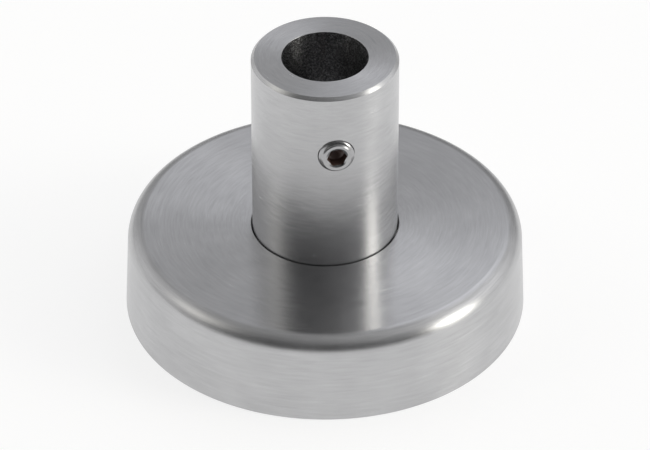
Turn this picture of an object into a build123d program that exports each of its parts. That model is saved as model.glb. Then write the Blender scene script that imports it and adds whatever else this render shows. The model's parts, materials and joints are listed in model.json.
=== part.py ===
from build123d import *
import os
from math import cos, radians, tan

# Base flange that clamps a round rod upright on a floor, wall or ceiling.
#
# A turned post with a blind bore takes the rod, and a set screw in its side clamps it. A
# countersunk screw from below pulls the post down into a shallow seat in a round base plate,
# which three countersunk holes fix to the floor. A drawn sheet cover slips down over the post,
# hides the plate and is gripped by a rubber ring in the plate's edge.
#
# Millimetres. The origin is the centre of the face that meets the floor, +Z runs up the post,
# and the set screw faces -Y.

# Rod and post
rod_diameter = 12.0
rod_clearance = 0.1  # on the diameter
rod_depth = 20.0  # full bore, without the drill point
post_wall = 4.25
post_height = 28.4  # above the top of the cover
post_chamfer = 0.45
foot_chamfer = 0.3
drill_point_angle = 118.0

# Cover
cover_height = 13.2
cover_rim_diameter = 57.0
cover_sheet = 1.2
cover_draft = 2.5  # degrees that the skirt leans out by, towards the floor
cover_shoulder = 2.4  # outside radius
cover_inside_shoulder = 1.3
cover_broken_edge = 0.2  # chamfer at the hole and round the rim
cover_post_gap = 0.15  # all round the post

# Base plate
plate_thickness = 5.0
plate_skirt_gap = 0.55
plate_chamfer = 0.4
seat_depth = 0.8
seat_gap = 0.05  # all round the foot of the post

# Fixing holes in the plate, countersunk from above
fixing_count = 3
fixing_hole_diameter = 6.0
fixing_head_diameter = 11.0
countersink_angle = 90.0

# Square rubber ring that grips the skirt
ring_section = 2.0
ring_gap = 0.05  # to the skirt and to the floor of the groove
groove_side_gap = 0.15  # each side of the ring

# Set screw: hexagon socket, cup point
set_screw_diameter = 5.0
set_screw_length = 4.0
set_screw_below_top = 9.6
set_screw_proud = 0.65  # stands out of the post until it clamps a rod
set_screw_face_chamfer = 0.5
set_screw_point_chamfer = 0.9
set_screw_cup_diameter = 2.0
set_screw_socket = 2.5  # across flats
set_screw_socket_depth = 1.6
set_screw_mouth_diameter = 3.15
set_screw_turn = 5.0  # degrees that its socket stands turned

# Foot screw: hexagon socket, countersunk head
foot_screw_diameter = 6.0
foot_screw_length = 12.0
foot_screw_head_diameter = 12.0
foot_screw_head_land = 0.3
foot_screw_socket = 4.0  # across flats
foot_screw_socket_depth = 2.3
foot_screw_mouth_diameter = 4.9
foot_screw_point_chamfer = 0.6
foot_screw_sink = 0.2  # head below the face of the plate
foot_screw_head_gap = 0.05  # between the head and its countersink
tapped_run_out = 1.0  # thread beyond the end of the foot screw

thread_gap = 0.08  # all round a screw, from its crests to the wall of the tapped hole
socket_mouth_angle = 120.0

# Worked out from the sizes above
bore_radius = (rod_diameter + rod_clearance) / 2
post_radius = bore_radius + post_wall
post_top = cover_height + post_height
post_foot = plate_thickness - seat_depth
bore_floor = post_top - rod_depth
cover_hole_radius = post_radius + cover_post_gap
cover_underside = cover_height - cover_sheet
skirt_width = cover_sheet / cos(radians(cover_draft))  # of its section, measured level
ring_height = plate_thickness / 2
groove_width = ring_section + 2 * groove_side_gap
set_screw_height = post_top - set_screw_below_top
set_screw_hole_radius = set_screw_diameter / 2 + thread_gap
foot_screw_radius = foot_screw_diameter / 2
foot_screw_hole_radius = foot_screw_radius + thread_gap
foot_screw_head_radius = foot_screw_head_diameter / 2
foot_screw_tip = foot_screw_sink + foot_screw_length
head_slope = tan(radians(countersink_angle / 2))
head_land_top = foot_screw_sink + foot_screw_head_land
head_neck = head_land_top + (foot_screw_head_radius - foot_screw_radius) / head_slope
head_seat_radius = foot_screw_head_radius + foot_screw_head_gap + head_land_top * head_slope
tapped_end = foot_screw_tip + tapped_run_out


def skirt_radius(height):
    """Outside radius of the cover's tapered skirt at a height above the floor."""
    return cover_rim_diameter / 2 - height * tan(radians(cover_draft))


def skirt_inside_radius(height):
    """Inside radius of the cover's skirt at a height above the floor."""
    return skirt_radius(height) - skirt_width


def drill_point(radius):
    """Length of the cone that a drill leaves at the end of a blind hole."""
    return radius / tan(radians(drill_point_angle / 2))


plate_radius = skirt_inside_radius(plate_thickness) - plate_skirt_gap
ring_outer_radius = skirt_inside_radius(ring_height + ring_section / 2) - ring_gap
ring_inner_radius = ring_outer_radius - ring_section
groove_floor_radius = ring_inner_radius - ring_gap
fixing_circle_radius = (post_radius + groove_floor_radius) / 2


def blind_hole(mouth, radius, depth):
    """Drills the part in progress from the plane of the mouth, against its normal."""
    with Locations(mouth):
        Hole(radius, depth)
    with Locations(mouth.offset(-depth)):
        Cone(
            bottom_radius=0,
            top_radius=radius,
            height=drill_point(radius),
            align=(Align.CENTER, Align.CENTER, Align.MAX),
            mode=Mode.SUBTRACT,
        )


def hexagon_socket(face, across_flats, depth, mouth_diameter, turn=0):
    """Cuts a key socket into the part in progress: pilot drilling, dished mouth, broached hexagon."""
    blind_hole(face, across_flats / 2, depth)
    with Locations(face):
        CounterSinkHole(
            radius=across_flats / 2,
            counter_sink_radius=mouth_diameter / 2,
            depth=depth,
            counter_sink_angle=socket_mouth_angle,
        )
    with BuildSketch(face) as hexagon:
        RegularPolygon(across_flats / 2, 6, major_radius=False, rotation=turn)
    extrude(hexagon.sketch, amount=-depth, mode=Mode.SUBTRACT)


# Post: turned bar, bored for the rod, tapped up its foot and through its side
post_end = Plane.XY.offset(post_top)
post_underside = Plane(origin=(0, 0, post_foot), x_dir=(1, 0, 0), z_dir=(0, 0, -1))
post_side = Plane(origin=(0, -post_radius, set_screw_height), x_dir=(1, 0, 0), z_dir=(0, -1, 0))

with BuildPart() as post:
    with BuildSketch(Plane.XY.offset(post_foot)):
        Circle(post_radius)
    extrude(amount=post_top - post_foot)
    chamfer(post.edges().group_by(Axis.Z)[-1], post_chamfer)
    chamfer(post.edges().group_by(Axis.Z)[0], foot_chamfer)
    blind_hole(post_end, bore_radius, rod_depth)
    blind_hole(post_underside, foot_screw_hole_radius, tapped_end - post_foot)
    with BuildSketch(post_side):
        Circle(set_screw_hole_radius)
    extrude(amount=-post_radius, mode=Mode.SUBTRACT)
post.part.label = "post"


# Set screw: headless, its face chamfered down to the root of the thread
set_screw_face = post_side.offset(set_screw_proud)
set_screw_point = Plane(
    origin=(0, set_screw_length - post_radius - set_screw_proud, set_screw_height),
    x_dir=(1, 0, 0),
    z_dir=(0, 1, 0),
)

with BuildPart() as set_screw:
    with BuildSketch(set_screw_face):
        Circle(set_screw_diameter / 2)
    extrude(amount=-set_screw_length)
    chamfer(set_screw.edges().group_by(Axis.Y)[0], set_screw_face_chamfer)
    chamfer(set_screw.edges().group_by(Axis.Y)[-1], set_screw_point_chamfer)
    hexagon_socket(
        set_screw_face,
        set_screw_socket,
        set_screw_socket_depth,
        set_screw_mouth_diameter,
        set_screw_turn,
    )
    with Locations(set_screw_point):
        Cone(
            bottom_radius=0,
            top_radius=set_screw_cup_diameter / 2,
            height=drill_point(set_screw_cup_diameter / 2),
            align=(Align.CENTER, Align.CENTER, Align.MAX),
            mode=Mode.SUBTRACT,
        )
set_screw.part.label = "set_screw"


# Cover: drawn cup with a rounded shoulder, a leaning skirt and a hole for the post
with BuildPart() as cover:
    with BuildSketch(Plane.XZ):
        with BuildLine():
            FilletPolyline(
                (cover_hole_radius, cover_height),
                (skirt_radius(cover_height), cover_height),
                (skirt_radius(0), 0),
                (skirt_inside_radius(0), 0),
                (skirt_inside_radius(cover_underside), cover_underside),
                (cover_hole_radius, cover_underside),
                radius=(0, cover_shoulder, 0, 0, cover_inside_shoulder, 0),
                close=True,
            )
        make_face()
    revolve(axis=Axis.Z)
    hole_edge = cover.edges().group_by(Axis.Z)[-1].sort_by(SortBy.RADIUS)[0]
    rim_edges = cover.edges().group_by(Axis.Z)[0]
    chamfer([hole_edge, *rim_edges], cover_broken_edge)
cover.part.label = "cover"


# Base plate: seat for the post, countersunk holes, groove for the grip ring
with BuildPart() as base_plate:
    with BuildSketch():
        Circle(plate_radius)
    extrude(amount=plate_thickness)
    chamfer(base_plate.edges().group_by(Axis.Z)[-1], plate_chamfer)
    with Locations(Plane.XY.offset(plate_thickness)):
        Hole(post_radius + seat_gap, seat_depth)
        with PolarLocations(fixing_circle_radius, fixing_count, start_angle=-90):
            CounterSinkHole(
                radius=fixing_hole_diameter / 2,
                counter_sink_radius=fixing_head_diameter / 2,
                depth=plate_thickness,
                counter_sink_angle=countersink_angle,
            )
    with Locations(Plane.XY.rotated((180, 0, 0))):
        CounterSinkHole(
            radius=foot_screw_hole_radius + foot_screw_head_gap,
            counter_sink_radius=head_seat_radius,
            depth=plate_thickness,
            counter_sink_angle=countersink_angle,
        )
    with BuildSketch(Plane.XZ):
        with Locations((groove_floor_radius, ring_height)):
            Rectangle(plate_radius, groove_width, align=(Align.MIN, Align.CENTER))
    revolve(axis=Axis.Z, mode=Mode.SUBTRACT)
base_plate.part.label = "base_plate"


# Grip ring: square rubber ring in the groove of the plate
with BuildPart() as grip_ring:
    with BuildSketch(Plane.XZ):
        with Locations((ring_inner_radius, ring_height)):
            Rectangle(ring_section, ring_section, align=(Align.MIN, Align.CENTER))
    revolve(axis=Axis.Z)
grip_ring.part.label = "grip_ring"


# Foot screw: countersunk head down, thread up into the post
with BuildPart() as foot_screw:
    with BuildSketch(Plane.XZ):
        with BuildLine():
            Polyline(
                (0, foot_screw_sink),
                (foot_screw_head_radius, foot_screw_sink),
                (foot_screw_head_radius, head_land_top),
                (foot_screw_radius, head_neck),
                (foot_screw_radius, foot_screw_tip - foot_screw_point_chamfer),
                (foot_screw_radius - foot_screw_point_chamfer, foot_screw_tip),
                (0, foot_screw_tip),
                close=True,
            )
        make_face()
    revolve(axis=Axis.Z)
    hexagon_socket(
        Plane(origin=(0, 0, foot_screw_sink), x_dir=(1, 0, 0), z_dir=(0, 0, -1)),
        foot_screw_socket,
        foot_screw_socket_depth,
        foot_screw_mouth_diameter,
    )
foot_screw.part.label = "foot_screw"

for piece in (post, set_screw, cover, base_plate, grip_ring, foot_screw):
    export_step(piece.part, f"parts/{piece.part.label}.step")
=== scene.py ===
# %% [markdown]
# # A base flange for a round rod, dressed in brushed stainless steel
#
# The part is a turned steel post that grips a rod with a set screw, standing on a plate that hides
# under a drawn round cover. Its true sizes are in the CAD model, so this script starts by loading
# that model as a fixed frame. Everything it adds is in metres and takes its place from the frame.

# %% Load the frame
import json

import bmesh
import bpy
import numpy as np
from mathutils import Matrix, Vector


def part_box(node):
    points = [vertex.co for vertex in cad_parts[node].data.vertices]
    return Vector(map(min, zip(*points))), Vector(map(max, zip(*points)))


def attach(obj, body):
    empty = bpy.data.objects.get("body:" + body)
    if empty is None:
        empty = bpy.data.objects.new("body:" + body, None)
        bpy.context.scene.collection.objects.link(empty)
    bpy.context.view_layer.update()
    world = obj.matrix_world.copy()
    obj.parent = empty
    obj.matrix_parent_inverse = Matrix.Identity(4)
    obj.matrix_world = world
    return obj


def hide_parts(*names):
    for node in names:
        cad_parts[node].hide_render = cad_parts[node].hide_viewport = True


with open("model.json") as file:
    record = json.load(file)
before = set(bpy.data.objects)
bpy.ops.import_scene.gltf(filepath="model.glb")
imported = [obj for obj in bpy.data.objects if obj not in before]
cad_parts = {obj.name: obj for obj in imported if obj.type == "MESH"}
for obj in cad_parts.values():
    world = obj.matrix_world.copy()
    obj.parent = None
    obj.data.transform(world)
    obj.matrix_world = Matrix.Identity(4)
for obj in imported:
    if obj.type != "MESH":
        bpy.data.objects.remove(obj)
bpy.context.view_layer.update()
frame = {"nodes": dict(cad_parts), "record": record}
print("nodes:", sorted(frame["nodes"]))

# %% [markdown]
# ## Sizes
#
# A lathe part is known by a few radii and heights. Those that the frame shows are read from it: the
# box of each node, and the bore from the record of the rod mount. The small ones, such as the broken
# edges that catch the light, are named here in millimetres.

# %% Sizes read from the frame
MM = 0.001


def mount(name):
    """The record of one mount, by its name."""
    return next(m for m in frame["record"]["mounts"] if m["name"] == name)


post_low, post_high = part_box("post")
cover_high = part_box("cover")[1]
screw_low, screw_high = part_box("set_screw")

post_radius = post_high.x
post_foot = post_low.z
post_top = post_high.z
bore_radius = mount("rod_bore")["dims"]["r_mm"] * MM
bore_floor = post_top - mount("rod_bore")["dims"]["length_mm"] * MM
cover_top = cover_high.z
screw_radius = screw_high.x
screw_height = (screw_low.z + screw_high.z) / 2
screw_face = screw_low.y
screw_point = screw_high.y
print("post", post_radius, post_top, "cover top", cover_top, "screw height", screw_height)

# %% [markdown]
# ## Surfaces of revolution
#
# Almost every face of this part was cut on a lathe or drawn over a round former, so one tool makes
# them all: an outline of radius against height, carried round the Z axis. A screw modifier would do
# the same, but worked out with numpy the outline can have exact arcs at its corners, and the
# points are there to weld other surfaces to.

# %% Outlines with rounded corners
def unit(vector):
    """The vector scaled to length one."""
    return vector / np.linalg.norm(vector)


def rounded(corners, radii, steps=6):
    """Outline through the corners, with the corner i replaced by an arc of radius radii[i].

    An arc touches the two sides at reach = r / tan(half the inside angle) from the corner. Its points
    are centre + (sin((1 - s) t) a + sin(s t) b) / sin(t), where a and b are the two spokes to the
    touching points, t is the angle between them and s runs from 0 to 1.
    """
    corners = np.array(corners, float)
    path = []
    for i, radius in enumerate(radii):
        corner = corners[i]
        if radius == 0:
            path.append(corner[None])
            continue
        back = unit(corners[i - 1] - corner)
        ahead = unit(corners[(i + 1) % len(corners)] - corner)
        half = np.arccos(np.clip(back @ ahead, -1, 1)) / 2
        centre = corner + unit(back + ahead) * radius / np.sin(half)
        spoke_in = corner + back * radius / np.tan(half) - centre
        spoke_out = corner + ahead * radius / np.tan(half) - centre
        turn = np.pi - 2 * half
        s = np.linspace(0, 1, steps + 1)[:, None]
        arc = np.sin((1 - s) * turn) * spoke_in + np.sin(s * turn) * spoke_out
        path.append(centre + arc / np.sin(turn))
    return np.concatenate(path)


# %% Turning an outline round the axis
COLUMNS = 288


def turned(path, columns=COLUMNS):
    """Grid of points (r cos a, r sin a, z): one row for each point (r, z) of the outline."""
    angle = np.arange(columns) * 2 * np.pi / columns - np.pi / 2
    radius, height = np.array(path, float).T[..., None]
    return np.stack(np.broadcast_arrays(radius * np.cos(angle), radius * np.sin(angle), height), axis=-1)


def grid_faces(rows, columns, start, closed_rows=False, closed_columns=True, skip=None):
    """Corner numbers of the faces between neighbouring rows and columns, counted from start.

    Face (i, j) has corners (i, j), (i, j + 1), (i + 1, j + 1) and (i + 1, j). A closed direction
    joins its last line to its first, and skip is a mask of faces to leave out.
    """
    i, j = np.meshgrid(
        np.arange(rows - (not closed_rows)), np.arange(columns - (not closed_columns)), indexing="ij"
    )
    down, right = (i + 1) % rows, (j + 1) % columns
    here, below = i * columns, down * columns
    corners = np.stack([here + j, here + right, below + right, below + j], -1)
    keep = np.ones(i.shape, bool) if skip is None else ~skip
    return corners[keep].reshape(-1, 4) + start


# %% [markdown]
# Grids that share an edge are welded into one closed skin, and its normals are pointed outwards.
# Flat faces next to tiny arcs would get bent shading from plain smooth normals, because both count
# the same at their common edge. Normals weighted by face area keep the flats flat, and edges over
# 35 degrees stay sharp.

# %% One piece from several grids
WELD = 2e-7
SHARP = np.radians(35)


def make_piece(name, grids):
    """Mesh object from a list of (points, options) grids, welded, closed and smoothly shaded."""
    vertices, faces, start = [], [], 0
    for points, options in grids:
        rows, columns = points.shape[:2]
        vertices.append(points.reshape(-1, 3))
        faces.append(grid_faces(rows, columns, start, **options))
        start += rows * columns
    mesh = bpy.data.meshes.new(name)
    mesh.from_pydata(np.concatenate(vertices), [], np.concatenate(faces).tolist())
    shell = bmesh.new()
    shell.from_mesh(mesh)
    bmesh.ops.remove_doubles(shell, verts=shell.verts, dist=WELD)
    bmesh.ops.dissolve_degenerate(shell, edges=shell.edges, dist=WELD)
    bmesh.ops.recalc_face_normals(shell, faces=shell.faces)
    open_edges = sum(not edge.is_manifold for edge in shell.edges)
    shell.to_mesh(mesh)
    shell.free()
    mesh.shade_smooth()
    mesh.set_sharp_from_angle(angle=SHARP)
    piece = bpy.data.objects.new(name, mesh)
    bpy.context.scene.collection.objects.link(piece)
    weighted = piece.modifiers.new("weighted normals", "WEIGHTED_NORMAL")
    weighted.keep_sharp = True
    with bpy.context.temp_override(object=piece, active_object=piece):
        bpy.ops.object.modifier_apply(modifier=weighted.name)
    print(name, len(mesh.polygons), "faces,", open_edges, "open edges")
    return piece


# %% [markdown]
# ## The post
#
# The post is a bar with a bevelled end, a blind bore for the rod and one tapped hole through its
# side. Cutting that hole with a boolean would leave long thin faces that shade badly on a polished
# cylinder. Here the wall is a grid with a window left open round the hole, and a ring of faces
# fills the window: its outer line lies on the edge of the window, its inner line is the hole.

# %% A round wall with a round hole in its side
HOLE_COLUMNS = 24  # grid columns from the middle of the window to its side
HOLE_ROWS = 32
HOLE_RINGS = 12
ROWS_BELOW = 12  # rows of points on the wall under the window
ROWS_ABOVE = 6
TUBE_ROWS = 8
thread_gap = 0.08 * MM
hole_radius = screw_radius + thread_gap
window = 2 * np.pi * HOLE_COLUMNS / COLUMNS * bore_radius  # half the height of the window


def on_wall(radius, angle, height):
    """Points of a round wall: (r sin a, -r cos a, z), with the angle a counted from -Y."""
    return np.stack(np.broadcast_arrays(radius * np.sin(angle), -radius * np.cos(angle), height), axis=-1)


def window_edge():
    """Angles and heights once round the edge of the window, the way that an angle grows."""
    step = 2 * np.pi / COLUMNS
    side = np.linspace(-1, 1, HOLE_ROWS + 1)[:-1] * window
    across = np.arange(-HOLE_COLUMNS, HOLE_COLUMNS) * step
    end = np.full(HOLE_ROWS, HOLE_COLUMNS * step)
    angle = [across, end, -across, -end]
    height = [np.full(2 * HOLE_COLUMNS, -window), side, np.full(2 * HOLE_COLUMNS, window), -side]
    return np.concatenate(angle), np.concatenate(height)


edge_angle, edge_height = window_edge()
# The direction in which each point of the edge lies, as seen from the middle of the hole.
hole_turn = np.arctan2(edge_height, edge_angle * post_radius)


def holed_wall(radius, bottom, top):
    """Grids of a round wall from bottom to top, open at the hole.

    The ring that fills the window is (1 - s) hole + s edge, in angle and height, with s from 0 to 1.
    A point of the hole's rim is at x = h cos t, z = h sin t, so its angle is asin(x / r).
    """
    below = np.linspace(bottom, screw_height - window, ROWS_BELOW)
    beside = np.linspace(screw_height - window, screw_height + window, HOLE_ROWS + 1)
    above = np.linspace(screw_height + window, top, ROWS_ABOVE)
    height = np.concatenate([below, beside[1:-1], above])[:, None]
    angle = np.arange(COLUMNS)[None] * 2 * np.pi / COLUMNS
    skip = np.zeros((len(height) - 1, COLUMNS), bool)
    first = len(below) - 1
    skip[first:first + HOLE_ROWS, :HOLE_COLUMNS] = True
    skip[first:first + HOLE_ROWS, -HOLE_COLUMNS:] = True
    s = np.linspace(0, 1, HOLE_RINGS + 1)[:, None]
    rim_angle = np.arcsin(hole_radius * np.cos(hole_turn) / radius)
    rim_height = hole_radius * np.sin(hole_turn)
    ring = on_wall(
        radius,
        (1 - s) * rim_angle + s * edge_angle,
        screw_height + (1 - s) * rim_height + s * edge_height,
    )
    return [(on_wall(radius, angle, height), {"skip": skip}), (ring, {})]


def hole_tube(outside, inside):
    """Wall of the side hole, straight along Y between the rims that it has in two round walls."""
    across = hole_radius * np.cos(hole_turn)
    height = screw_height + hole_radius * np.sin(hole_turn)
    depth = np.linspace(-np.sqrt(outside**2 - across**2), -np.sqrt(inside**2 - across**2), TUBE_ROWS)
    return [(np.stack(np.broadcast_arrays(across, depth, height), axis=-1), {})]


# %% The post itself
post_bevel = 0.45 * MM
foot_bevel = 0.3 * MM
bevel_edge = 0.05 * MM  # radius of the edges of a bevel
bore_edge = 0.05 * MM
drill_slope = np.tan(np.radians(118 / 2))  # a drill's point is a cone of 118 degrees
tapped_radius = 3.08 * MM
tapped_end = 13.2 * MM
POLE = 1e-9  # radius that stands for a point on the axis

end_path = rounded(
    [
        (post_radius, post_top - 4 * post_bevel),
        (post_radius, post_top - post_bevel),
        (post_radius - post_bevel, post_top),
        (bore_radius, post_top),
        (bore_radius, post_top - 4 * post_bevel),
    ],
    [0, bevel_edge, bevel_edge, bore_edge, 0],
)
floor_path = [(bore_radius, bore_floor), (POLE, bore_floor - bore_radius / drill_slope)]
foot_path = [
    (post_radius, post_foot + foot_bevel),
    (post_radius - foot_bevel, post_foot),
    (tapped_radius, post_foot),
    (tapped_radius, tapped_end),
    (POLE, tapped_end + tapped_radius / drill_slope),
]
post = make_piece(
    "turned_post",
    [
        *holed_wall(post_radius, post_foot + foot_bevel, post_top - 4 * post_bevel),
        *holed_wall(bore_radius, bore_floor, post_top - 4 * post_bevel),
        *hole_tube(post_radius, bore_radius),
        (turned(end_path), {}),
        (turned(floor_path), {}),
        (turned(foot_path), {}),
    ],
)
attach(post, "root")
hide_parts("post")

# %% [markdown]
# ## The cover
#
# The cover is a cup drawn from 1.2 mm sheet. Its skirt leans out a little towards the floor, so
# that it comes off the former, and its shoulder is a generous arc that gathers a bright line of
# light. One closed outline holds the outside, the rim, the inside and the hole.

# %% The cover
cover_sheet = 1.2 * MM
cover_lean = np.tan(np.radians(2.5))
shoulder = 2.4 * MM
inside_shoulder = 1.3 * MM
rim_edge = 0.2 * MM
hole_edge = 0.15 * MM
cover_gap = 0.15 * MM  # between the post and the edge of the cover's hole
rim_radius = 28.5 * MM
skirt_width = cover_sheet / np.cos(np.arctan(cover_lean))
cover_hole = post_radius + cover_gap
cover_inside = cover_top - cover_sheet

cover_path = rounded(
    [
        (cover_hole, cover_top),
        (rim_radius - cover_top * cover_lean, cover_top),
        (rim_radius, 0),
        (rim_radius - skirt_width, 0),
        (rim_radius - skirt_width - cover_inside * cover_lean, cover_inside),
        (cover_hole, cover_inside),
    ],
    [hole_edge, shoulder, rim_edge, rim_edge, inside_shoulder, rim_edge],
    steps=16,
)
cover = make_piece("drawn_cover", [(turned(cover_path, 360), {"closed_rows": True})])
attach(cover, "root")
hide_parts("cover")

# %% [markdown]
# ## The set screw
#
# A set screw is a headless threaded stub with a hexagon socket. It could be modelled in three
# pieces, but one grid can hold it all: every ring of the grid goes once round the screw, and only its
# radius changes with the angle. The thread is a radius that rises and falls as the ring climbs its
# helix, and in the socket the radius is that of a hexagon.

# %% Rings that change with the angle
SCREW_COLUMNS = 240
screw_angle = np.arange(SCREW_COLUMNS) * 2 * np.pi / SCREW_COLUMNS


def hexagon(across_flats, turn):
    """Radius of a hexagon at each angle: (flats / 2) / cos(angle from the middle of the nearest flat)."""
    sixth = np.pi / 3
    from_flat = (screw_angle - turn) % sixth - sixth / 2
    return across_flats / 2 / np.cos(from_flat)


def thread(depth, crest, pitch, cut):
    """Radius of a thread at each depth and angle: the crest less a V that moves on by one pitch a turn.

    phase = depth / pitch - angle / full turn. The V is |2 phase - 1|, cut off flat at its crest and
    rounded at its root by a smooth step.
    """
    phase = (depth[:, None] / pitch - screw_angle / (2 * np.pi)) % 1
    flank = np.clip(abs(2 * phase - 1) * 1.3 - 0.15, 0, 1)
    return crest - cut * flank**2 * (3 - 2 * flank)


def key_socket(across_flats, depth, mouth_radius, turn):
    """Rings (radius, depth) from the tip of a socket's pilot drilling up to its mouth in the face.

    The mouth is a cone of 120 degrees. It meets the hexagon at (mouth radius - radius) / tan 60, which
    is deeper at the flats than at the corners.
    """
    flats = hexagon(across_flats, turn)
    slope = np.tan(np.radians(60))
    meets = (mouth_radius - flats) / slope
    pilot = across_flats / 2
    s = np.linspace(0, 1, 5)[:, None]
    cone = ((1 - s) * mouth_radius + s * flats, s * meets)
    wall = (flats + 0 * s, (1 - s) * meets + s * depth)
    floor = ((1 - s) * flats + s * pilot, depth + 0 * s)
    tip = ((1 - s) * pilot + s * POLE, depth + s * pilot / drill_slope)
    return [(radius[::-1], down[::-1]) for radius, down in (tip, floor, wall, cone)]


# %% The set screw itself
set_pitch = 0.8 * MM
set_cut = 0.42 * MM
set_bevel = 0.5 * MM
set_point_bevel = 0.9 * MM
cup_radius = 1.0 * MM
set_socket = 2.5 * MM
set_socket_depth = 1.6 * MM
set_mouth = 3.15 * MM / 2
set_turn = np.radians(5)
set_length = screw_point - screw_face

depth = np.linspace(0, set_length, 181)
bevel_limit = np.minimum(
    screw_radius - set_bevel + depth,
    screw_radius - set_point_bevel + set_length - depth,
)
screw_wall = np.minimum(thread(depth, screw_radius, set_pitch, set_cut), bevel_limit[:, None])
s = np.linspace(0, 1, 5)[:, None]
face_ring = (screw_wall[0] * s + set_mouth * (1 - s), 0 * s)
cup = (np.array([[cup_radius], [POLE]]), np.array([[set_length], [set_length - cup_radius / drill_slope]]))
rings = [
    *key_socket(set_socket, set_socket_depth, set_mouth, set_turn),
    face_ring,
    (screw_wall, depth[:, None]),
    cup,
]


def screw_grid(rings, axis):
    """Points of the rings: from the screw's face along +Y for the set screw, else up from the floor."""
    radius = np.concatenate([np.broadcast_to(r, (len(r), SCREW_COLUMNS)) for r, _ in rings])
    along = np.concatenate([np.broadcast_to(d, (len(r), SCREW_COLUMNS)) for r, d in rings])
    across, up = radius * np.cos(screw_angle), radius * np.sin(screw_angle)
    if axis == "Y":
        return np.stack([across, screw_face + along, screw_height + up], -1)
    return np.stack([across, up, along], -1)


set_screw = make_piece("set_screw_m5", [(screw_grid(rings, "Y"), {})])
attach(set_screw, "root")
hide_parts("set_screw")

# %% [markdown]
# ## The foot screw
#
# A countersunk screw from below holds the post on the plate. It is the same kind of grid as the set
# screw, only stood upright: a key socket, a flat face, a cone for the head and a thread.

# %% The foot screw
foot_low, foot_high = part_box("foot_screw")
foot_face = foot_low.z
foot_tip = foot_high.z
foot_head = foot_high.x
foot_radius = 3.0 * MM
foot_land = 0.3 * MM  # straight edge of the head
foot_pitch = 1.0 * MM
foot_cut = 0.54 * MM
foot_bevel_tip = 0.6 * MM
foot_edge = 0.1 * MM  # broken edge round the face of the head
foot_socket = 4.0 * MM
foot_socket_depth = 2.3 * MM
foot_mouth = 4.9 * MM / 2

foot_length = foot_tip - foot_face
neck = foot_land + foot_head - foot_radius  # the head is a cone of 90 degrees
depth = np.linspace(neck, foot_length, 241)
run_out = np.clip((depth - neck) / foot_pitch, 0, 1)[:, None]  # the first turn cuts in slowly
foot_thread = foot_radius - (foot_radius - thread(depth, foot_radius, foot_pitch, foot_cut)) * run_out
foot_wall = np.minimum(foot_thread, (foot_radius - foot_bevel_tip + foot_length - depth)[:, None])
s = np.linspace(0, 1, 5)[:, None]
head = (
    np.array([[foot_head - foot_edge], [foot_head], [foot_head]]),
    np.array([[0], [foot_edge], [foot_land]]),
)
rings = [
    *key_socket(foot_socket, foot_socket_depth, foot_mouth, 0),
    (foot_mouth + (foot_head - foot_edge - foot_mouth) * s, 0 * s),
    head,
    (foot_head + (foot_radius - foot_head) * s, foot_land + (foot_head - foot_radius) * s),
    (foot_wall, depth[:, None]),
    (np.array([[POLE]]), np.array([[foot_length]])),
]
foot_screw = make_piece("foot_screw_m6", [(screw_grid(rings, "Z"), {})])
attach(foot_screw, "root")
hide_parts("foot_screw")

# %% [markdown]
# ## The plate and its ring
#
# The plate hides under the cover. It is turned too, but three holes go through it, and a hole can't
# be part of an outline. So its top and its bottom are each cut into three sectors of 120 degrees
# with a hole in the middle, and, as on the post, a ring of faces runs from the hole to the edge.
# All else is turned: the rim with the groove for the rubber ring, and the seat of the post.

# %% A sector with a hole in it
plate_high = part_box("base_plate")[1]
ring_low, ring_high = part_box("grip_ring")
plate_radius = plate_high.x
plate_top = plate_high.z
plate_bevel = 0.4 * MM
hole_circle = mount("fixing_holes")["dims"]["pcd_mm"] / 2 * MM
fixing_radius = mount("fixing_holes")["dims"]["hole_r_mm"] * MM
fixing_head = 5.5 * MM
SECTOR = COLUMNS // 3
SECTOR_SIDE = 16


def sector_edge(inner, outer):
    """Angles and radii once round the edge of a sector of 120 degrees: out, round, in and back."""
    side = np.linspace(inner, outer, SECTOR_SIDE + 1)[:-1]
    along = np.linspace(-np.pi / 3, np.pi / 3, SECTOR + 1)[:-1]
    angle = [np.full(SECTOR_SIDE, -np.pi / 3), along, np.full(SECTOR_SIDE, np.pi / 3), -along]
    radius = [side, np.full(SECTOR, outer), inner + outer - side, np.full(SECTOR, inner)]
    return np.concatenate(angle), np.concatenate(radius)


edge_turn, edge_reach = sector_edge(post_radius, plate_radius)
drill_turn = np.arctan2(edge_turn * hole_circle, edge_reach - hole_circle)


def hole_rim(hole):
    """Angle and radius, as seen from the axis, of the rim of a hole: x = c + h cos t, y = h sin t."""
    x, y = hole_circle + hole * np.cos(drill_turn), hole * np.sin(drill_turn)
    return np.arctan2(y, x), np.hypot(x, y)


def drilled(inner, outer, height, hole):
    """Three sectors of a flat face, each a ring (1 - s) hole + s edge in angle and radius."""
    rim_angle, rim_radius = hole_rim(hole)
    angle, radius = sector_edge(inner, outer)
    s = np.linspace(0, 1, HOLE_RINGS + 1)[:, None]
    angle = (1 - s) * rim_angle + s * angle
    radius = (1 - s) * rim_radius + s * radius
    return [(on_wall(radius, angle + k * 2 * np.pi / 3, height), {}) for k in range(3)]


def drilled_wall(holes, heights, k):
    """Wall of the hole number k: one ring for each radius and height."""
    angle, radius = np.array([hole_rim(hole) for hole in holes]).swapaxes(0, 1)
    height = np.array(heights, float)[:, None]
    return [(on_wall(radius, angle + k * 2 * np.pi / 3, height), {})]


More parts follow.
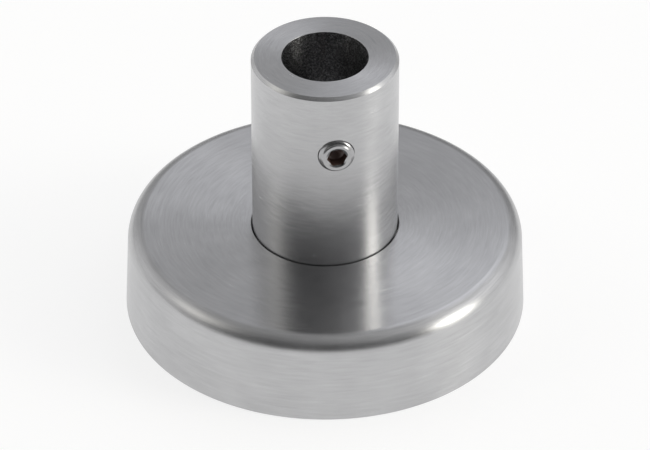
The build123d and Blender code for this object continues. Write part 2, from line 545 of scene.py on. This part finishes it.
# %% The plate itself
seat_gap = 0.05 * MM
foot_gap = thread_gap + 0.05 * MM
head_gap = 0.05 * MM
groove_play = 0.15 * MM  # each side of the ring
groove_edge = 0.1 * MM
seat_radius = post_radius + seat_gap
ring_inner = ring_high.x - (ring_high.z - ring_low.z)
groove_floor = ring_inner - 0.05 * MM
countersunk = plate_top - (fixing_head - fixing_radius)  # a cone of 90 degrees
plate_path = rounded(
    [
        (plate_radius - plate_bevel, plate_top),
        (plate_radius, plate_top - plate_bevel),
        (plate_radius, ring_high.z + groove_play),
        (groove_floor, ring_high.z + groove_play),
        (groove_floor, ring_low.z - groove_play),
        (plate_radius, ring_low.z - groove_play),
        (plate_radius, 0),
    ],
    [0, bevel_edge, groove_edge, groove_edge, groove_edge, groove_edge, 0],
)
neck_radius = foot_radius + foot_gap
sunk_radius = foot_head + head_gap + foot_face + foot_land
seat_path = [
    (seat_radius, plate_top),
    (seat_radius, post_foot),
    (neck_radius, post_foot),
    (neck_radius, sunk_radius - neck_radius),
    (sunk_radius, 0),
]
walls = []
for k in range(3):
    walls += drilled_wall([fixing_head, fixing_radius, fixing_radius], [plate_top, countersunk, 0], k)
base_plate = make_piece(
    "turned_plate",
    [
        *drilled(seat_radius, plate_radius - plate_bevel, plate_top, fixing_head),
        *drilled(sunk_radius, plate_radius, 0, fixing_radius),
        *walls,
        (turned(plate_path), {}),
        (turned(seat_path), {}),
    ],
)
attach(base_plate, "root")
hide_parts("base_plate")

# %% The rubber ring
ring_edge = 0.25 * MM
ring_path = rounded(
    [
        (ring_high.x, ring_low.z),
        (ring_high.x, ring_high.z),
        (ring_inner, ring_high.z),
        (ring_inner, ring_low.z),
    ],
    [ring_edge] * 4,
)
grip_ring = make_piece("rubber_ring", [(turned(ring_path), {"closed_rows": True})])
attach(grip_ring, "root")
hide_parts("grip_ring")

# %% [markdown]
# ## Camera
#
# A long lens from two thirds of a metre away keeps upright walls nearly parallel. The camera looks
# down on the flange, a little from the left of the set screw.

# %% Camera
aim_below_cover = 0.58 * MM
aim = Vector((0, 0, cover_top - aim_below_cover))
camera_distance = 660.5 * MM
camera_rise = np.radians(36.46)
camera_side = np.radians(-8.9)
camera_data = bpy.data.cameras.new("camera")
camera = bpy.data.objects.new("camera", camera_data)
bpy.context.scene.collection.objects.link(camera)
back = Vector((
    np.sin(camera_side) * np.cos(camera_rise), -np.cos(camera_side) * np.cos(camera_rise), np.sin(camera_rise)
))
camera.location = aim + back * camera_distance
camera.rotation_mode = "QUATERNION"
camera.rotation_quaternion = (-back).to_track_quat("-Z", "Y")
camera_data.sensor_width = 36
camera_data.lens = 257.5
camera_data.clip_start = 0.01
camera_data.clip_end = 20
bpy.context.scene.camera = camera
print("camera", tuple(round(v, 3) for v in camera.location))

# %% [markdown]
# ## Marks of the lathe and the brush
#
# Turned and brushed steel is covered with scratches that all run round the axis. Most are far too
# fine to draw: the shader's anisotropy stands for them, and stretches every reflection across the
# scratches. The coarse ones are drawn with noise, as bump and as slight changes of tone and gloss.
#
# The noise has to run round the axis on flats and walls alike. So it is read at the place
# (k cos a, k sin a, n (r - z)): along any outline of this part r - z keeps changing, n says how many
# marks there are to a metre, and k how often they start anew in a turn. This is a node group,
# because every steel piece uses it with its own values.

# %% Helpers for nodes
def node(tree, kind, inputs=None, **options):
    """New node with its options set, and each input, by number or name, set to a value or linked."""
    made = tree.nodes.new(kind)
    for name, option in options.items():
        setattr(made, name, option)
    for key, value in (inputs or {}).items():
        if isinstance(value, bpy.types.NodeSocket):
            tree.links.new(value, made.inputs[key])
        else:
            made.inputs[key].default_value = value
    return made


def worked(tree, operation, *values):
    """Output of a Math node."""
    return node(tree, "ShaderNodeMath", dict(enumerate(values)), operation=operation).outputs[0]


def spread(tree, value, low, high):
    """The value, which runs from 0 to 1, spread over low to high."""
    return node(tree, "ShaderNodeMapRange", {"Value": value, "To Min": low, "To Max": high}).outputs[0]


def mixed(tree, factor, first, second):
    """Colour that goes from the first to the second as the factor goes from 0 to 1."""
    return node(tree, "ShaderNodeMix", {0: factor, 6: first, 7: second}, data_type="RGBA").outputs[2]


def from_axis(tree, place):
    """The place brought down to z = 0, and its distance from the Z axis."""
    level = node(tree, "ShaderNodeVectorMath", {0: place, 1: (1, 1, 0)}, operation="MULTIPLY").outputs[0]
    return level, node(tree, "ShaderNodeVectorMath", {0: level}, operation="LENGTH").outputs["Value"]


def place_group(tree, group, place, **values):
    """Output of a node group in a tree, read at a place with its own values."""
    return node(tree, "ShaderNodeGroup", {"Position": place, **values}, node_tree=group).outputs[0]


def new_group(name, inputs, output):
    """Empty node group with its input sockets, given as name: type, and one output of a number."""
    group = bpy.data.node_groups.new(name, "ShaderNodeTree")
    for socket, kind in inputs.items():
        group.interface.new_socket(socket, in_out="INPUT", socket_type="NodeSocket" + kind)
    group.interface.new_socket(output, in_out="OUTPUT", socket_type="NodeSocketFloat")
    return group, group.nodes.new("NodeGroupInput").outputs, group.nodes.new("NodeGroupOutput").inputs


# %% The group for lathe marks
lathe_marks, given, result = new_group(
    "lathe marks", {"Position": "Vector", "Starts": "Float", "Lines": "Float"}, "Marks"
)
level, radius = from_axis(lathe_marks, given["Position"])
way = node(lathe_marks, "ShaderNodeVectorMath", {0: level}, operation="NORMALIZE").outputs[0]
height = node(lathe_marks, "ShaderNodeSeparateXYZ", {0: given["Position"]}).outputs["Z"]
along = worked(lathe_marks, "MULTIPLY", worked(lathe_marks, "SUBTRACT", radius, height), given["Lines"])
round_axis = node(
    lathe_marks, "ShaderNodeVectorMath", {0: way, "Scale": given["Starts"]}, operation="SCALE"
).outputs[0]
across = node(lathe_marks, "ShaderNodeCombineXYZ", {"Z": along}).outputs[0]
place = node(lathe_marks, "ShaderNodeVectorMath", {0: round_axis, 1: across}).outputs[0]
marks = node(
    lathe_marks, "ShaderNodeTexNoise",
    {"Vector": place, "Scale": 1.0, "Detail": 2.0, "Roughness": 0.6},
)
lathe_marks.links.new(marks.outputs[0], result["Marks"])

# %% The group for hand marks
hand_marks, given, result = new_group("hand marks", {"Position": "Vector", "Size": "Float"}, "Clouds")
per_size = worked(hand_marks, "DIVIDE", 1.0, given["Size"])
clouds = node(
    hand_marks, "ShaderNodeTexNoise",
    {"Vector": given["Position"], "Scale": per_size, "Detail": 2.0, "Roughness": 0.5},
)
hand_marks.links.new(clouds.outputs[0], result["Clouds"])

# %% [markdown]
# A steel is put together from the groups: fine and coarse marks for the bump, the same marks and
# soft clouds for tone and gloss. The shader's own constants stay on its sockets. Anisotropy
# stretches along the tangent, and this tangent runs round the axis with the scratches, so it is
# turned by a quarter to stretch across them.

# %% Steel
TONE = 0.35  # how far the marks change the colour
GLOSS = 0.07  # and the roughness
COARSER = 3  # how many fine marks there are to a coarse one
CLOUD = 7 * MM
CLOUDED = 0.35  # share of the clouds in tone and gloss


def grey(level):
    """Colour of the steel, a hair cooler than grey, at a level of brightness."""
    return (level, level, 1.015 * level, 1)


def steel(name, level, roughness, anisotropy, lines, starts, bump, axis="Z", tint=None):
    """Brushed steel whose marks run round an axis. tint(tree, place, tone) may change its colour."""
    material = bpy.data.materials.new(name)
    material.use_nodes = True
    tree = material.node_tree
    shader = tree.nodes["Principled BSDF"]
    shader.inputs["Metallic"].default_value = 1
    shader.inputs["Anisotropic"].default_value = anisotropy
    shader.inputs["Anisotropic Rotation"].default_value = 0.25
    tangent = node(tree, "ShaderNodeTangent", direction_type="RADIAL", axis=axis)
    tree.links.new(tangent.outputs[0], shader.inputs["Tangent"])
    place = node(tree, "ShaderNodeTexCoord").outputs["Object"]
    if axis == "Y":
        place = node(
            tree, "ShaderNodeMapping",
            {"Vector": place, "Location": (0, 0, screw_height), "Rotation": (np.pi / 2, 0, 0)},
            vector_type="TEXTURE",
        ).outputs[0]
    fine = place_group(tree, lathe_marks, place, Starts=starts, Lines=lines)
    coarse = place_group(tree, lathe_marks, place, Starts=starts, Lines=lines / COARSER)
    soft = place_group(tree, hand_marks, place, Size=CLOUD)
    scratched = worked(tree, "MULTIPLY", worked(tree, "ADD", fine, coarse), 0.5)
    scratches = worked(tree, "MULTIPLY", scratched, 1 - CLOUDED)
    clouded = worked(tree, "MULTIPLY_ADD", soft, CLOUDED, scratches)
    gloss = spread(tree, clouded, roughness - GLOSS, roughness + GLOSS)
    tree.links.new(gloss, shader.inputs["Roughness"])
    tone = mixed(tree, clouded, grey(level * (1 - TONE)), grey(level * (1 + TONE)))
    if tint:
        tone = tint(tree, place, tone)
    tree.links.new(tone, shader.inputs["Base Color"])
    relief = node(tree, "ShaderNodeBump", {"Height": scratched, "Strength": 1.0, "Distance": bump})
    tree.links.new(relief.outputs[0], shader.inputs["Normal"])
    print(name, "is made of", len(tree.nodes), "nodes")
    return material


# %% [markdown]
# The post and the cover are the same steel, and differ in the size of their marks. The bore is only
# drilled, so it is duller. Its wall is also painted darker, partly for its rougher drilled steel and
# partly as painted shade deep in the bore. A radius just over its own tells its wall from the rest of
# the post. The socket of the set screw is where oil and rust stay, so it has a brown film.

# %% Post and cover
STEEL = 0.52


def dull_shaded_bore(tree, place, tone):
    """Darker and speckled where the distance from the axis is that of the bore: drilled steel, with painted
    shade of the deep bore.
    """
    in_bore = worked(tree, "LESS_THAN", from_axis(tree, place)[1], bore_radius + 0.02 * MM)
    grains = place_group(tree, hand_marks, place, Size=0.3 * MM)
    speckle = node(tree, "ShaderNodeMapRange", {"Value": grains, "From Min": 0.42, "From Max": 0.62})
    # Painted shade: the bore's greys sit below the steel's, partly for drilled steel and partly for the shade
    # in the bore.
    drilled_and_shaded_steel = mixed(tree, speckle.outputs[0], grey(0.28), grey(0.7))
    return mixed(tree, in_bore, tone, drilled_and_shaded_steel)


post_steel = steel("post_steel", STEEL, 0.25, 0.92, 9000, 4, 4e-6, tint=dull_shaded_bore)
cover_steel = steel("cover_steel", STEEL, 0.25, 0.92, 8000, 6, 4e-6)
post.data.materials.append(post_steel)
cover.data.materials.append(cover_steel)


# %% Screws and plate
BROWN = (0.15, 0.095, 0.08, 1)
film_depth = 0.25 * MM
film_radius = 1.46 * MM


def brown_socket(tree, place, tone):
    """A brown film inside the mouth of the socket: near the axis, and deeper than the face."""
    untouched = node(tree, "ShaderNodeTexCoord").outputs["Object"]
    inwards = node(tree, "ShaderNodeSeparateXYZ", {0: untouched}).outputs["Y"]
    deep = worked(tree, "GREATER_THAN", inwards, screw_face + film_depth)
    near = worked(tree, "LESS_THAN", from_axis(tree, place)[1], film_radius)
    film = worked(tree, "MULTIPLY", deep, near)
    bare = worked(tree, "SUBTRACT", 1.0, worked(tree, "MULTIPLY", film, 0.9))
    tree.links.new(bare, tree.nodes["Principled BSDF"].inputs["Metallic"])
    return mixed(tree, film, tone, BROWN)


screw_steel = steel("screw_steel", 0.42, 0.26, 0.3, 8000, 3, 3e-6, "Y", brown_socket)
foot_steel = steel("foot_screw_steel", 0.5, 0.26, 0.3, 5000, 2, 3e-6)
plate_steel = steel("plate_steel", 0.48, 0.32, 0.85, 2500, 1, 8e-6)
set_screw.data.materials.append(screw_steel)
foot_screw.data.materials.append(foot_steel)
base_plate.data.materials.append(plate_steel)

# %% [markdown]
# ## Rubber
#
# The grip ring is moulded rubber: dark, hardly shiny, with a fine grain and a little pale dust. It is
# not metal, so its shader keeps Metallic at zero.

# %% Rubber
ring_rubber = bpy.data.materials.new("ring_rubber")
ring_rubber.use_nodes = True
tree = ring_rubber.node_tree
shader = tree.nodes["Principled BSDF"]
place = node(tree, "ShaderNodeTexCoord").outputs["Object"]
dust = place_group(tree, hand_marks, place, Size=2 * MM)
grain = place_group(tree, hand_marks, place, Size=0.15 * MM)
clean, dusty = (0.012, 0.012, 0.013, 1), (0.035, 0.034, 0.033, 1)
tree.links.new(mixed(tree, dust, clean, dusty), shader.inputs["Base Color"])
tree.links.new(spread(tree, dust, 0.5, 0.75), shader.inputs["Roughness"])
relief = node(tree, "ShaderNodeBump", {"Height": grain, "Strength": 1.0, "Distance": 1.5e-5})
tree.links.new(relief.outputs[0], shader.inputs["Normal"])
grip_ring.data.materials.append(ring_rubber)

# %% [markdown]
# ## The studio
#
# Metal looks like what it mirrors, so the studio matters as much as the steel. The flange stands on
# a white floor, in a tent of soft light: a bright window on the right, wide pale walls behind and on
# the left, and a dark side where the camera stands. Area lamps would do, but lamps with soft edges
# are easy to write as one function of the direction d: the sum of colour exp(k (d . lamp - 1)),
# where k is large for a small lamp. Each term is a few Math nodes in the world.

# %% Light tent
WHITE = (1, 1, 1)
WARM = (1, 0.98, 0.9)
COOL = (0.96, 0.98, 1.04)
LAMPS = {  # azimuth from +X and height above the horizon in degrees, k, brightness and tint
    "window": (-23, 20, 55, 8.5, WARM),  # the bright strip on the post, and the arc on the shoulder
    "right wall": (10, 30, 4.5, 1.1, WHITE),  # the right of the cover
    "back panel": (70, 45, 60, 1.2, COOL),  # the top of the cover
    "left wall": (140, 20, 3.5, 0.8, WHITE),  # the left of the cover and the end of the post
    "left panel": (175, 40, 30, 0.9, WARM),  # the soft band on the left of the post
    "ceiling": (-60, 70, 4.5, 0.3, WHITE),  # keeps the dark front of the shoulder from going black
}
world = bpy.data.worlds.new("light tent")
bpy.context.scene.world = world
world.use_nodes = True
sky = world.node_tree
facing = node(sky, "ShaderNodeTexCoord").outputs["Generated"]
total = None
for azimuth, rise, sharpness, brightness, tint in LAMPS.values():
    azimuth, rise = np.radians(azimuth), np.radians(rise)
    lamp = (np.cos(rise) * np.cos(azimuth), np.cos(rise) * np.sin(azimuth), np.sin(rise))
    nearness = node(sky, "ShaderNodeVectorMath", {0: facing, 1: lamp}, operation="DOT_PRODUCT")
    fall = worked(sky, "SUBTRACT", nearness.outputs["Value"], 1.0)
    glow = worked(sky, "EXPONENT", worked(sky, "MULTIPLY", fall, sharpness))
    glow = worked(sky, "MULTIPLY", glow, brightness)
    part = node(sky, "ShaderNodeVectorMath", {0: tint, "Scale": glow}, operation="SCALE").outputs[0]
    total = part if total is None else node(sky, "ShaderNodeVectorMath", {0: total, 1: part}).outputs[0]
below = worked(sky, "LESS_THAN", node(sky, "ShaderNodeSeparateXYZ", {0: facing}).outputs["Z"], 0.0)
UNDERSIDE = (0.8, 0.8, 0.8, 1)  # light from below, for when the part is looked at from there
sky.links.new(mixed(sky, below, total, UNDERSIDE), sky.nodes["Background"].inputs["Color"])
print(len(LAMPS), "lamps in the tent")

# %% [markdown]
# The floor has to look white but cast back little of the part's shadow. So it is matt paper of a
# middle grey, and the light that it lacks to be white is added for the camera and for mirrors alike,
# so that the steel shows the same floor as the eye sees.
# Seen from below the paper is clear, so that the underside can be looked at too.

# %% Floor
FLOOR_GLOW = 0.76
FLOOR_RADIUS = 3.0
FLOOR_SIDES = 96
floor_gap = 0.02 * MM
rim = np.arange(FLOOR_SIDES) * 2 * np.pi / FLOOR_SIDES
x, y = FLOOR_RADIUS * np.cos(rim), FLOOR_RADIUS * np.sin(rim)
floor_mesh = bpy.data.meshes.new("floor")
floor_points = np.stack([x, y, np.full(FLOOR_SIDES, -floor_gap)], -1)
floor_mesh.from_pydata(floor_points.tolist(), [], [list(range(FLOOR_SIDES))])
floor = bpy.data.objects.new("floor", floor_mesh)
bpy.context.scene.collection.objects.link(floor)
paper = bpy.data.materials.new("white_paper")
paper.use_nodes = True
tree = paper.node_tree
shader = tree.nodes["Principled BSDF"]
shader.inputs["Base Color"].default_value = (0.35, 0.35, 0.35, 1)
shader.inputs["Roughness"].default_value = 1
shader.inputs["Specular IOR Level"].default_value = 0
shader.inputs["Emission Color"].default_value = (1, 1, 1, 1)
ray = node(tree, "ShaderNodeLightPath").outputs
seen = worked(tree, "MAXIMUM", ray["Is Camera Ray"], ray["Is Glossy Ray"])
seen = worked(tree, "MAXIMUM", seen, ray["Is Transmission Ray"])
tree.links.new(worked(tree, "MULTIPLY", seen, FLOOR_GLOW), shader.inputs["Emission Strength"])
from_below = node(tree, "ShaderNodeNewGeometry").outputs["Backfacing"]
glass = node(tree, "ShaderNodeBsdfTransparent").outputs[0]
one_way = node(tree, "ShaderNodeMixShader", {0: from_below, 1: shader.outputs[0], 2: glass})
tree.links.new(one_way.outputs[0], tree.nodes["Material Output"].inputs["Surface"])
floor_mesh.materials.append(paper)

# %% [markdown]
# ## Last words
#
# The colours go to the screen as they are, with no film curve.

# %% Finish
bpy.context.scene.view_settings.view_transform = "Standard"
